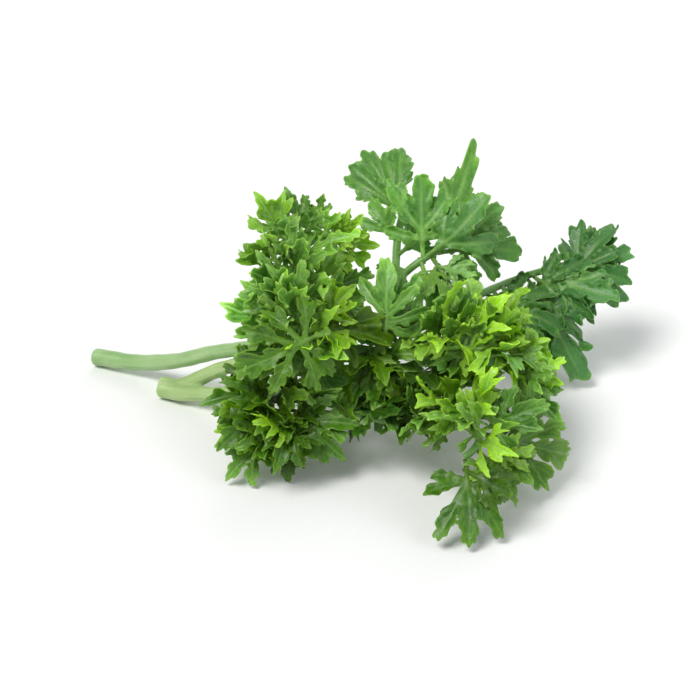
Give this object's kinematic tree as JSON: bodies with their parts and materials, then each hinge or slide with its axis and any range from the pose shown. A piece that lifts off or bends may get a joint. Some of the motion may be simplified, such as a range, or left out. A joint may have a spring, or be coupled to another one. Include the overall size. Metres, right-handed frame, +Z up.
{
  "type": "parsley bunch",
  "caption": "Small cut bunch of curly parsley lying on its side, with pale green cut stems and dense clusters of lobed, curled leaflets.",
  "frame": {"origin": "the middle of the bunch's footprint box, on the surface it lies on", "axes": "+X along the bunch from the cut ends towards the leaves, +Y across it towards the side of the long stem's cut end, +Z up"},
  "size_m": [0.1158, 0.0864, 0.0516],
  "materials": {
    "stem": "satin pale green skin with fine lengthwise ribs, paler at the cut ends",
    "leafstalk": "satin mid green skin with fine lengthwise ribs",
    "leaf": "satin thin blade, dark green above with pale veins, paler yellow-green below and at the curled tips"
  },
  "bodies": {
    "root": {"stem_long": "stem", "stem_forked": "stem", "leafstalk_left": "leafstalk", "leafstalk_low": "leafstalk", "leafstalk_under": "leafstalk", "leafstalk_centre": "leafstalk", "leafstalk_back": "leafstalk", "leafstalk_back_branch": "leafstalk", "leafstalk_right": "leafstalk", "leafstalk_right_back": "leafstalk", "leafstalk_front": "leafstalk", "leaflet_low_1": "leaf", "leaflet_front_1": "leaf", "leaflet_right_back_1": "leaf", "leaflet_left_1": "leaf", "leaflet_left_2": "leaf", "leaflet_left_3": "leaf", "leaflet_left_4": "leaf", "leaflet_left_5": "leaf", "leaflet_top_1": "leaf", "leaflet_top_2": "leaf", "leaflet_top_3": "leaf", "leaflet_top_4": "leaf", "leaflet_top_5": "leaf", "leaflet_left_6": "leaf", "leaflet_left_7": "leaf", "leaflet_left_8": "leaf", "leaflet_left_9": "leaf", "leaflet_low_2": "leaf", "leaflet_low_3": "leaf", "leaflet_low_4": "leaf", "leaflet_low_5": "leaf", "leaflet_low_6": "leaf", "leaflet_low_7": "leaf", "leaflet_centre_1": "leaf", "leaflet_centre_2": "leaf", "leaflet_centre_3": "leaf", "leaflet_front_2": "leaf", "leaflet_front_3": "leaf", "leaflet_front_4": "leaf", "leaflet_front_5": "leaf", "leaflet_right_1": "leaf", "leaflet_right_2": "leaf", "leaflet_right_3": "leaf", "leaflet_right_4": "leaf", "leaflet_right_5": "leaf", "leaflet_right_6": "leaf", "leaflet_right_7": "leaf", "leaflet_right_8": "leaf", "leaflet_back_1": "leaf", "leaflet_back_2": "leaf", "leaflet_back_3": "leaf", "leaflet_back_4": "leaf", "leaflet_right_back_2": "leaf", "leaflet_right_back_3": "leaf", "leaflet_right_back_4": "leaf", "leaflet_left_rear": "leaf", "leaflet_centre_rear": "leaf", "leaflet_right_rear": "leaf", "leaflet_under_rear": "leaf"}
  },
  "joints": []
}
